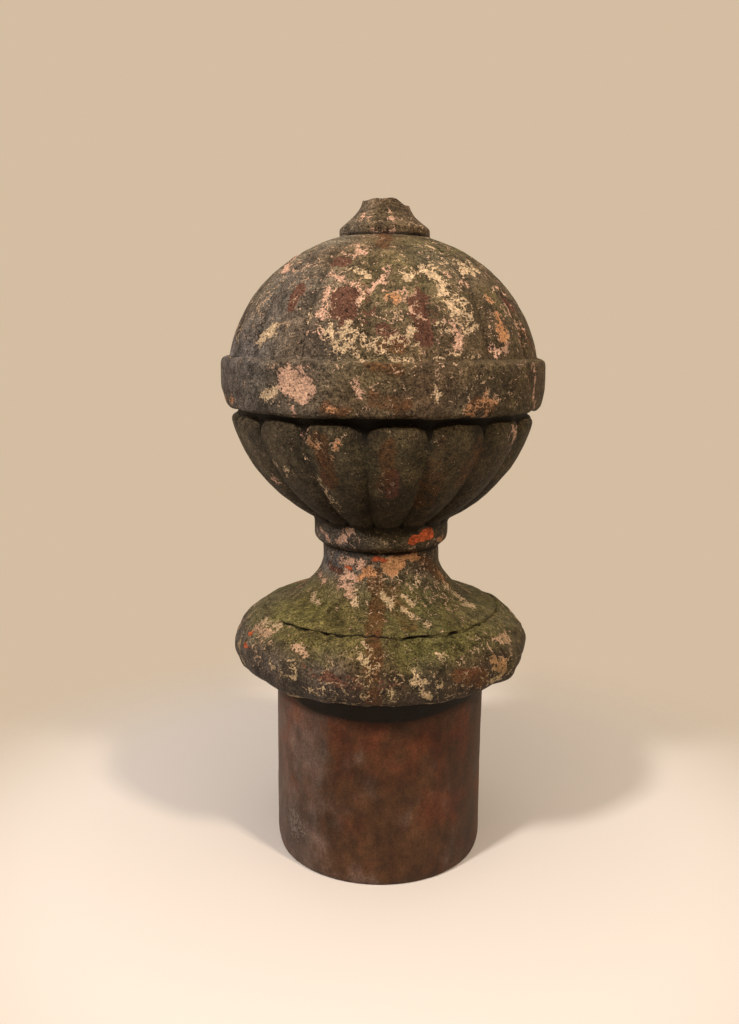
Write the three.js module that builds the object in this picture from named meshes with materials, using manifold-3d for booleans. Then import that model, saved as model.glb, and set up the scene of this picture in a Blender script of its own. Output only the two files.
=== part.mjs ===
// A roof finial: one hollow iron casting, cored from the foot. A plain round spigot carries a
// bellied foot moulding, a grooved shoulder that sweeps up into a neck, a collar, a ball of a
// lobed bowl and a lobed dome with a plain band round its middle, and the root of a spike that
// has broken off.
import * as THREE from "three";
import { mergeVertices } from "three/addons/utils/BufferGeometryUtils.js";
import Module from "manifold-3d";

// Driving sizes in millimetres and degrees. The origin is the middle of the foot, +Z is up and
// -Y is the front, which carries the mould seam. Heights stack from the foot upwards.
const spigotDiameter = 140;
const spigotLength = 127;
const spigotChamfer = 1.5;
const wall = 9;

const bellyProjection = 27.8;
const bellyUnderside = 3.9;
const bellyRise = 20.4;
const bellyFall = 19.8;
const bellyRiseFullness = 2.8;
const bellyFallFullness = 1.35;
const grooveSetback = 18.1;
const grooveDepth = 2.4;

const shoulderRise = 2;
const shoulderRound = 0.8;
const shoulderWidth = 13;
const shoulderFall = 4.4;
const flareRise = 26.4;
const flareFullness = 1.5;
const neckDiameter = 76.8;
const neckLength = 10.4;

const collarProjection = 5.6;
const collarChamfer = 4.4;
const collarHeight = 13.5;

const ballDiameter = 202.4;
const bowlDepth = 99.8;
const domeSetback = 2.2;
const domeHeight = 91.6;
const bandHeight = 32;
const bandDrop = 2;
const bandProjection = 2.4;
const bandRound = 3.5;

const lobeCount = 16;
const grooveAzimuth = -6;
const bowlLobeDepth = 4.2;
const bowlLobeSharpness = 2.5;
const domeLobeDepth = 3.2;
const domeLobeSharpness = 4;
const lobeTopGap = 3.5;
const lobeTopDrop = 8;
const lobeTopSharpness = 5;
const lobeTopRound = 4;
const lobeTopRecess = 5;

const ringDiameter = 57.4;
const ringHeight = 6.6;
const ringRound = 1.6;
const spikeDiameter = 29;
const spikeRootHeight = 18;
const spikeRootCurve = 2.2;
const breakHeight = 15.6;
const breakSlope = 0.17;
const breakRoughness = 0.9;
const breakDish = 1.6;

// Where columns of the outer surface stand within a lobe, as shares of it from its groove.
const lobeColumns = [0, 0.12, 0.37, 0.63, 0.88];
const coreColumns = 32;

// Radii and heights worked out from the driving sizes.
const spigotRadius = spigotDiameter / 2;
const bellyRadius = spigotRadius + bellyProjection;
const bellyHeight = spigotLength + bellyRise;
const grooveRadius = bellyRadius - grooveSetback;
const grooveHeight = bellyHeight + bellyFall;
const shoulderRadius = grooveRadius - grooveDepth;
const shoulderHeight = grooveHeight + shoulderRise;
const flareRadius = shoulderRadius - shoulderWidth;
const flareHeight = shoulderHeight + shoulderFall;
const neckRadius = neckDiameter / 2;
const neckHeight = flareHeight + flareRise;
const collarRadius = neckRadius + collarProjection;
const collarFoot = neckHeight + neckLength + collarChamfer;
const collarTop = collarFoot + collarHeight;
const ballRadius = ballDiameter / 2;
const ballHeight = collarTop + heightOnEllipse(bowlDepth, collarRadius / ballRadius);
const domeRadius = ballRadius - domeSetback;
const bandRadius = ballRadius + bandProjection;
const bandFoot = ballHeight - bandDrop - bandHeight / 2;
const bandTop = bandFoot + bandHeight;
const ringRadius = ringDiameter / 2;
const ringFoot = ballHeight + heightOnEllipse(domeHeight, ringRadius / domeRadius);
const ringTop = ringFoot + ringHeight;
const spikeRadius = spikeDiameter / 2;

// The height above its centre of an ellipse's point that stands at this share of its width.
function heightOnEllipse(semiHeight, share) {
  return semiHeight * Math.sqrt(Math.max(0, 1 - share * share));
}

// One row of the turned outline. What it says beyond radius and height moves its columns:
// lobes takes the radius in at the grooves, drop takes the height down there.
function row(radius, height, moves = {}) {
  return { radius, height, ...moves };
}

// The rows of a quarter turn from one point to another, without the first point. The outline is
// upright at the first point and level at the second, or the other way round. A fullness of 2
// gives an ellipse, more a squarer shape, and 1 a straight line.
function quarterTurn(from, to, uprightFirst, steps, fullness = 2) {
  const rows = [];
  for (let step = 1; step <= steps; step++) {
    const turn = (step / steps) * (Math.PI / 2);
    const sine = Math.sin(turn) ** (2 / fullness);
    const cosine = Math.max(0, Math.cos(turn)) ** (2 / fullness);
    const inward = uprightFirst ? 1 - cosine : sine;
    const upward = uprightFirst ? sine : 1 - cosine;
    rows.push(
      row(
        from[0] + (to[0] - from[0]) * inward,
        from[1] + (to[1] - from[1]) * upward,
      ),
    );
  }
  return rows;
}

function spigotRows() {
  return [
    row(0, 0),
    row(spigotRadius - spigotChamfer, 0),
    row(spigotRadius, spigotChamfer),
    row(spigotRadius, spigotLength),
  ];
}

function footRows() {
  const underside = [spigotRadius + bellyUnderside, spigotLength];
  const widest = [bellyRadius, bellyHeight];
  const groove = [grooveRadius, grooveHeight];
  return [
    row(...underside),
    ...quarterTurn(underside, widest, false, 5, bellyRiseFullness),
    ...quarterTurn(widest, groove, true, 3, bellyFallFullness),
  ];
}

function shoulderRows() {
  const rimRadius = shoulderRadius - shoulderRound;
  return [
    row(shoulderRadius, grooveHeight),
    row(shoulderRadius, shoulderHeight - shoulderRound),
    row(rimRadius, shoulderHeight),
    row(flareRadius, flareHeight),
    ...quarterTurn([flareRadius, flareHeight], [neckRadius, neckHeight], false, 4, flareFullness),
  ];
}

function collarRows() {
  return [
    row(neckRadius, neckHeight + neckLength),
    row(collarRadius, collarFoot),
    row(collarRadius, collarTop),
  ];
}

// The bowl's lobes run from the collar to round tops just under the band, in front of a recess.
function bowlRows() {
  const steps = 5;
  const topHeight = bandFoot - lobeTopGap;
  const roundHeight = topHeight - lobeTopRound;
  const start = Math.asin((ballHeight - collarTop) / bowlDepth);
  const end = Math.asin((ballHeight - roundHeight) / bowlDepth);
  const rows = [];
  for (let step = 1; step <= steps; step++) {
    const turn = start + ((end - start) * step) / steps;
    rows.push(
      row(ballRadius * Math.cos(turn), ballHeight - bowlDepth * Math.sin(turn), {
        lobes: bowlLobeDepth,
        sharpness: bowlLobeSharpness,
        drop: lobeTopDrop * (step / steps) ** 4,
      }),
    );
  }
  const faceRadius = rows.at(-1).radius;
  const recessRadius = faceRadius - lobeTopRecess;
  const top = { lobes: bowlLobeDepth, sharpness: bowlLobeSharpness, drop: lobeTopDrop };
  rows.push(row(faceRadius - lobeTopRound / 3, topHeight - lobeTopRound / 3, top));
  rows.push(row(recessRadius, topHeight, { ...top, lobes: bowlLobeDepth / 3 }));
  rows.push(row(recessRadius, bandFoot));
  return rows;
}

function bandRows() {
  return [
    row(bandRadius - bandRound, bandFoot),
    row(bandRadius, bandFoot + bandRound),
    row(bandRadius, bandTop - bandRound),
    row(bandRadius - bandRound, bandTop),
  ];
}

// The dome's lobes rise from the band and fade out under the ring.
function domeRows() {
  const steps = 7;
  const start = Math.asin((bandTop - ballHeight) / domeHeight);
  const end = Math.acos(ringRadius / domeRadius);
  const rows = [];
  for (let step = 0; step <= steps; step++) {
    const turn = start + ((end - start) * step) / steps;
    rows.push(
      row(domeRadius * Math.cos(turn), ballHeight + domeHeight * Math.sin(turn), {
        lobes: domeLobeDepth * (1 - (step / steps) ** 3),
        sharpness: domeLobeSharpness,
      }),
    );
  }
  return rows;
}

// The ring and the root of the spike. From the ring up, rise is a row's share of the way to the
// break, and on the break, inset is its share of the way from the broken edge to the axis.
function spikeRows() {
  const rows = [row(ringRadius, ringTop - ringRound)];
  rows.push(row(ringRadius - ringRound, ringTop));
  for (const rise of [0.2, 0.45, 0.7, 1]) rows.push(row(0, ringTop, { rise }));
  for (const inset of [0.35, 0.75, 1]) rows.push(row(0, ringTop, { rise: 1, inset }));
  return rows;
}

// How deep a column stands in its groove: 1 in the groove's line and 0 on the lobe's crown.
function grooveShare(share, sharpness) {
  return Math.abs(1 - 2 * share) ** sharpness;
}

// The broken face: it slopes down to the right and is lumpy.
function breakAt(azimuth, radius) {
  const lumps = Math.sin(3 * azimuth + 0.8) + 0.7 * Math.sin(5 * azimuth - 1.1);
  const across = radius * Math.sin(azimuth);
  return ringTop + breakHeight - breakSlope * across + breakRoughness * lumps * (radius / spikeRadius);
}

// The spike root's radius at a height: it sweeps in from the ring to the spike.
function spikeRadiusAt(height) {
  const left = Math.max(0, 1 - (height - ringTop) / spikeRootHeight);
  return spikeRadius + (ringRadius - ringRound - spikeRadius) * left ** spikeRootCurve;
}

// The radius and height of one row at one column.
function placeOf({ radius, height, lobes, sharpness, drop, rise, inset }, share, azimuth) {
  if (rise !== undefined) {
    const edge = breakAt(azimuth, spikeRadius);
    const level = ringTop + (edge - ringTop) * rise;
    const edgeRadius = spikeRadiusAt(level);
    if (inset === undefined) return [edgeRadius, level];
    const innerRadius = edgeRadius * (1 - inset);
    return [innerRadius, breakAt(azimuth, innerRadius) - breakDish * Math.sin(inset * Math.PI) ** 2];
  }
  if (!lobes) return [radius, height];
  const inward = lobes * grooveShare(share, sharpness);
  const down = (drop ?? 0) * grooveShare(share, lobeTopSharpness);
  return [radius - inward, height - down];
}

// The turned outline with each column moved to its place: a lathe-turned form, then carved.
function castingGeometry() {
  const rows = [
    ...spigotRows(),
    ...footRows(),
    ...shoulderRows(),
    ...collarRows(),
    ...bowlRows(),
    ...bandRows(),
    ...domeRows(),
    ...spikeRows(),
  ];
  const columns = lobeCount * lobeColumns.length;
  const outline = rows.map(({ radius, height }) => new THREE.Vector2(radius, height));
  const geometry = new THREE.LatheGeometry(outline, columns);
  const position = geometry.getAttribute("position");
  for (let column = 0; column <= columns; column++) {
    const share = lobeColumns[column % lobeColumns.length];
    const lobe = Math.floor(column / lobeColumns.length) % lobeCount;
    const azimuth = THREE.MathUtils.degToRad(grooveAzimuth + (360 * (lobe + share)) / lobeCount);
    rows.forEach((each, index) => {
      const [radius, height] = placeOf(each, share, azimuth);
      position.setXYZ(
        column * rows.length + index,
        radius * Math.sin(azimuth),
        -radius * Math.cos(azimuth),
        height,
      );
    });
  }
  return geometry;
}

// The core that leaves the casting hollow: a straight bore, a throat through the neck and a
// round chamber in the ball, all a wall's thickness inside the outline.
function coreGeometry() {
  const boreRadius = spigotRadius - wall;
  const throatRadius = neckRadius - wall;
  const inset = wall + bowlLobeDepth;
  const chamberRadius = ballRadius - inset;
  const chamberDepth = bowlDepth - inset;
  const chamberRise = domeHeight - inset;
  const steps = 8;
  const start = -Math.acos(throatRadius / chamberRadius);
  const outline = [
    row(0, -wall),
    row(boreRadius, -wall),
    row(boreRadius, shoulderHeight - wall),
    ...quarterTurn([boreRadius, shoulderHeight - wall], [throatRadius, neckHeight], false, 4),
  ];
  for (let step = 0; step <= steps; step++) {
    const turn = start + ((Math.PI / 2 - start) * step) / steps;
    const semiHeight = turn < 0 ? chamberDepth : chamberRise;
    outline.push(row(chamberRadius * Math.cos(turn), ballHeight + semiHeight * Math.sin(turn)));
  }
  outline.at(-1).radius = 0;
  const points = outline.map(({ radius, height }) => new THREE.Vector2(radius, height));
  return new THREE.LatheGeometry(points, coreColumns).rotateX(Math.PI / 2);
}

const wasm = await Module();
wasm.setup();

// A closed geometry as a solid that can be cut.
function solidOf(geometry) {
  geometry.deleteAttribute("normal");
  geometry.deleteAttribute("uv");
  const merged = mergeVertices(geometry, 1e-4);
  return new wasm.Manifold(
    new wasm.Mesh({
      numProp: 3,
      vertProperties: merged.getAttribute("position").array,
      triVerts: new Uint32Array(merged.index.array),
    }),
  );
}

// A cut solid back as a geometry.
function geometryOf(solid) {
  const { vertProperties, triVerts } = solid.getMesh();
  const geometry = new THREE.BufferGeometry();
  geometry.setAttribute("position", new THREE.BufferAttribute(vertProperties, 3));
  geometry.setIndex(new THREE.BufferAttribute(triVerts, 1));
  geometry.computeVertexNormals();
  return geometry;
}

const paintedIron = new THREE.MeshStandardMaterial({
  name: "painted_iron",
  color: 0x4c4a37,
  roughness: 0.85,
  metalness: 0.1,
});

const finial = new THREE.Mesh(
  geometryOf(solidOf(castingGeometry()).subtract(solidOf(coreGeometry()))),
  paintedIron,
);
finial.name = "finial";

const part = new THREE.Group();
part.name = "roof_finial";
part.add(finial);

export default part;
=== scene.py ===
import math
from types import SimpleNamespace

import bpy
import numpy as np
from mathutils import Matrix, Vector


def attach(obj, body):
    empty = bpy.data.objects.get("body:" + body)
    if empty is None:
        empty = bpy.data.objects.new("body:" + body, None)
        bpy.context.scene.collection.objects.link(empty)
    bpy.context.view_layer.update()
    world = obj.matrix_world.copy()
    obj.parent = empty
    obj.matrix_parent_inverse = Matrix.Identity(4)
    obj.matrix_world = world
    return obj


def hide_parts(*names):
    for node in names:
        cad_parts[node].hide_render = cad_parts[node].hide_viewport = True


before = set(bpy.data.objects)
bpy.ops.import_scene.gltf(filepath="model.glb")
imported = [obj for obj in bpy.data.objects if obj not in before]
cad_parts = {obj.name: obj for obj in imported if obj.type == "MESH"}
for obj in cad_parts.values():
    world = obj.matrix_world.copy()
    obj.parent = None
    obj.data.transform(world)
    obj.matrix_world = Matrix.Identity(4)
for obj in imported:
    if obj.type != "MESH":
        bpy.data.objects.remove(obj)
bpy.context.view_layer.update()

bl_info = {
    "name": "Roof finial",
    "version": (1, 0, 0),
    "blender": (4, 5, 0),
    "location": "3D View > Sidebar > Finial",
    "description": "Makes the cast-iron roof finial in its flaking paint, and sets its stage",
    "category": "Add Mesh",
}

MM = 0.001

# Parts of the outline, from the core's top round the foot and up the outside to the break.
CORE, FOOT, SPIGOT, BELLY, FLARE, COLLAR, BOWL, BAND, DOME, STUMP = range(10)

# What each row of the outline says.
RADIUS, HEIGHT, LOBE, SHARPNESS, DROP, RISE, INSET, PART = range(8)

COLUMNS_PER_LOBE = 19
BOWL_ROWS = 44
DOME_ROWS = 62
ROW_PITCH = 2.3 * MM

# Share of the bowl grooves' depth that is left at the lobes' inner edge.
INNER_LOBE = 0.35

# Shares of the way in from the break's edge to its middle.
BREAK_ROWS = (0.06, 0.16, 0.3, 0.48, 0.66, 0.84, 1)

# Large numbers that scatter a lattice corner's place into a random one.
HASH_PLACE = (73856093, 19349663, 83492791)
HASH_SEED = 2654435761
HASH_FIRST = 1274126177
HASH_LAST = 2246822519
HASH_MASK = 0xFFFFFFFF

# The point in metres that the lights face, the width in millimetres that the camera's lens is
# given for, and the nearest that the camera sees.
LIGHT_AIM = (0, 0, 0.22)
SENSOR_WIDTH = 36
NEAREST_SEEN = 10 * MM

# How strongly the surfaces shine, and the share of the crevice darkening, partly dirt and partly painted
# shade, that the dome's grooves hold.
SHEEN = 0.18
DOME_DIRT_AND_SHADE = 0.35

# Where the belly's shade ends on the spigot's front, in millimetres.
SHADE_FOOT = 109.5

# How far marks are bent out of line, and how far apart and with which seed the bends are.
BENDS = ((2.4 * MM, 8 * MM, 11), (1.5 * MM, 3.8 * MM, 14))


def size(name, description, mm):
    """A length property, given in millimetres and kept in metres."""
    return bpy.props.FloatProperty(
        name=name, description=description, default=mm * MM, unit="LENGTH", subtype="DISTANCE"
    )


def angle(name, description, degrees):
    """An angle property, given in degrees and kept in radians."""
    return bpy.props.FloatProperty(
        name=name, description=description, default=math.radians(degrees), subtype="ANGLE"
    )


def share(name, description, value):
    """A plain number property."""
    return bpy.props.FloatProperty(name=name, description=description, default=value)


def colour(name, description, red, green, blue):
    """A linear colour property."""
    return bpy.props.FloatVectorProperty(
        name=name, description=description, default=(red, green, blue), subtype="COLOR", min=0, max=1
    )


class FinialSizes(bpy.types.PropertyGroup):
    """The casting's sizes, the same as in its solid."""

    spigot_diameter: size("Spigot diameter", "Outside of the plain round spigot", 140)
    spigot_length: size("Spigot length", "From the foot to the belly's underside", 127)
    spigot_chamfer: size("Spigot chamfer", "Bevel round the foot's outer edge", 1.5)
    wall: size("Wall", "Thickness of the hollow casting", 9)
    belly_projection: size("Belly projection", "How far the belly stands out from the spigot", 27.8)
    belly_underside: size("Belly underside", "Width of the flat ledge under the belly", 3.9)
    belly_rise: size("Belly rise", "From the ledge up to the belly's widest line", 20.4)
    belly_fall: size("Belly fall", "From the widest line up to the groove", 19.8)
    belly_rise_fullness: share("Belly rise fullness", "2 is an ellipse and more is squarer", 2.8)
    belly_fall_fullness: share("Belly fall fullness", "2 is an ellipse and 1 a straight line", 1.35)
    groove_setback: size("Groove setback", "How far the groove stands in from the belly", 18.1)
    groove_depth: size("Groove depth", "Depth of the line between belly and shoulder", 2.4)
    shoulder_rise: size("Shoulder rise", "Height of the shoulder's upright edge", 2)
    shoulder_round: size("Shoulder round", "Round on the shoulder's edge", 0.8)
    shoulder_width: size("Shoulder width", "Width of the shoulder's slope", 13)
    shoulder_fall: size("Shoulder fall", "Height of the shoulder's slope", 4.4)
    flare_rise: size("Flare rise", "Height of the sweep from the shoulder to the neck", 26.4)
    flare_fullness: share("Flare fullness", "2 is an ellipse and 1 a straight line", 1.5)
    neck_diameter: size("Neck diameter", "Outside of the neck", 76.8)
    neck_length: size("Neck length", "Height of the straight neck", 10.4)
    collar_projection: size("Collar projection", "How far the collar stands out", 5.6)
    collar_chamfer: size("Collar chamfer", "Height of the slope under the collar", 4.4)
    collar_height: size("Collar height", "Height of the collar's face", 13.5)
    ball_diameter: size("Ball diameter", "Width across the bowl at its middle", 202.4)
    bowl_depth: size("Bowl depth", "From the ball's middle down to the bowl's lowest point", 99.8)
    dome_setback: size("Dome setback", "How far the dome stands in from the bowl", 2.2)
    dome_height: size("Dome height", "From the ball's middle up to the dome's highest point", 91.6)
    band_height: size("Band height", "Height of the plain band", 32)
    band_drop: size("Band drop", "How far the band's middle lies under the ball's", 2)
    band_projection: size("Band projection", "How far the band stands out from the bowl", 2.4)
    band_round: size("Band round", "Bevel on the band's edges", 3.5)
    lobe_count: bpy.props.IntProperty(name="Lobes", description="Lobes round the ball", default=16)
    groove_azimuth: angle("Groove azimuth", "Where one of the grooves stands, from the front", -6)
    bowl_lobe_depth: size("Bowl lobe depth", "Depth of the bowl's grooves", 4.2)
    bowl_lobe_sharpness: share("Bowl lobe sharpness", "More makes narrower grooves", 2.5)
    dome_lobe_depth: size("Dome lobe depth", "Depth of the dome's grooves", 3.2)
    dome_lobe_sharpness: share("Dome lobe sharpness", "More makes narrower grooves", 4)
    lobe_top_gap: size("Lobe top gap", "From the lobes' tops up to the band", 3.5)
    lobe_top_drop: size("Lobe top drop", "How much lower a lobe's top is at its sides", 8)
    lobe_top_sharpness: share("Lobe top sharpness", "More makes flatter tops", 5)
    lobe_top_round: size("Lobe top round", "Round on the lobes' tops", 4)
    lobe_top_recess: size("Lobe top recess", "How far the bowl steps in over the lobes", 5)
    ring_diameter: size("Ring diameter", "Outside of the ring under the spike", 57.4)
    ring_height: size("Ring height", "Height of the ring", 6.6)
    ring_round: size("Ring round", "Round on the ring's upper edge", 1.6)
    spike_diameter: size("Spike diameter", "Width of the spike that broke off", 29)
    spike_root_height: size("Spike root height", "Height of the sweep from the ring to the spike", 18)
    spike_root_curve: share("Spike root curve", "1 is a straight cone and more is hollower", 2.2)
    break_height: size("Break height", "From the ring up to the middle of the break", 15.6)
    break_slope: share("Break slope", "Fall of the break to the right", 0.17)
    break_roughness: size("Break roughness", "Height of the lumps on the break", 0.9)
    break_dish: size("Break dish", "Hollow of the break", 1.6)


class FinialRelief(bpy.types.PropertyGroup):
    """How uneven the old surface is."""

    sway: size("Sway", "Broad unevenness of the sand casting", 0.45)
    crust: size("Crust", "Lumps of old paint and scale", 0.3)
    belly_lumps: size("Belly lumps", "Swollen lumps of rust and paint on the belly", 1.8)
    peel: size("Peel", "Thickness of the paint that has come off", 0.35)
    seam_height: size("Seam height", "How far the mould seam stands out", 0.6)
    seam_width: size("Seam width", "Half width of the mould seam", 1.6)
    groove_wander: size("Groove wander", "How unevenly the shoulder's edge is filled with paint", 0.7)
    jags: size("Jags", "Teeth round the broken edge", 0.35)
    corner_wear: size("Corner wear", "How far the break's high left corner is worn down", 2.2)
    chips: size("Chips", "Bites out of the band's and the foot's edges", 1.2)
    groove_cut: size("Groove cut", "Dark line down the bottom of the grooves", 0.35)
    band_bevel: size("Band bevel", "Knocked off lower edge at the band's left and right", 4)


class FinialPaint(bpy.types.PropertyGroup):
    """The colours of the paint layers, the rust, the dirt, and the painted shade and shadow."""

    olive: colour("Olive", "Top coat, worn olive", 0.140, 0.112, 0.060)
    moss: colour("Moss", "Top coat where it is greenest", 0.115, 0.105, 0.032)
    # Also paints the cool light that falls on the left side.
    slate_and_cool_light: colour("Slate", "Top coat where it is blue grey", 0.118, 0.113, 0.119)
    # Also the colour of the painted shadow round the flakes.
    umber: colour("Umber", "Top coat where rust shows through", 0.120, 0.070, 0.040)
    soot: colour("Soot", "Top coat under the band, sheltered and dark", 0.066, 0.049, 0.025)
    cream: colour("Cream", "Undercoat", 0.840, 0.620, 0.390)
    pink: colour("Pink", "Undercoat where it has turned pink", 0.820, 0.510, 0.360)
    stained: colour("Stained", "Undercoat under a film of algae", 0.360, 0.270, 0.110)
    peach: colour("Peach", "Undercoat where it has turned orange", 0.680, 0.330, 0.155)
    red_lead: colour("Red lead", "Bright first coat", 0.850, 0.185, 0.065)
    primer: colour("Primer", "Dark red first coat", 0.136, 0.058, 0.037)
    rust: colour("Rust", "Rust stain", 0.140, 0.058, 0.020)
    lichen: colour("Lichen", "Yellow green growth", 0.170, 0.145, 0.045)
    # Near black for the pits, for the crevices, where it is partly dirt and partly painted shade, and for
    # the painted shadow under the belly.
    dirt: colour("Dirt", "Dirt in the crevices", 0.010, 0.008, 0.006)
    bare: colour("Bare iron", "Brown rust of the spigot", 0.073, 0.033, 0.0145)
    bare_red: colour("Bare iron, red", "Redder rust of the spigot", 0.115, 0.032, 0.014)
    # Also paints the cool light that falls on the spigot's left.
    bare_grey_and_cool_light: colour("Bare iron, grey", "Greyer skin of the spigot", 0.135, 0.092, 0.074)
    bare_chips: colour("Bare iron, chips", "Pale specks on the spigot", 0.30, 0.25, 0.21)
    # Also paints the shade that darkens the spigot up towards the belly.
    bare_dark_and_shade: colour("Bare iron, dark", "Darkest rust of the spigot", 0.028, 0.013, 0.009)


class FinialStage(bpy.types.PropertyGroup):
    """Where the camera and the lights stand, and how bright they are."""

    camera_distance: size("Camera distance", "From the finial's axis to the camera", 613.94)
    camera_height: size("Camera height", "Height of the camera over the foot", 345.57)
    camera_pitch: angle("Camera pitch", "How far the camera looks down", 10.663)
    camera_yaw: angle("Camera yaw", "How far the camera looks to the right", -0.7506)
    camera_roll: angle("Camera roll", "How far the camera leans", 0.4813)
    camera_lens: share("Camera lens", "Focal length for a 36 mm long side", 32.986)
    key_power: bpy.props.FloatProperty(
        name="Key power", description="Power of each front light", default=21.2, unit="POWER"
    )
    top_power: bpy.props.FloatProperty(
        name="Top power", description="Power of the light overhead", default=18, unit="POWER"
    )
    left_light: colour("Left light", "Colour of the left front light", 1.0, 0.89, 0.82)
    right_light: colour("Right light", "Colour of the right front light", 1.0, 0.81, 0.62)
    top_light: colour("Top light", "Colour of the light overhead", 1.0, 0.86, 0.72)
    floor: colour("Floor", "Floor round the finial", 0.86, 0.82, 0.78)
    floor_reach: size("Floor reach", "From the finial's axis to where the floor has faded out", 450)
    far: colour("Background", "The plain background", 0.66, 0.51, 0.36)


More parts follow.
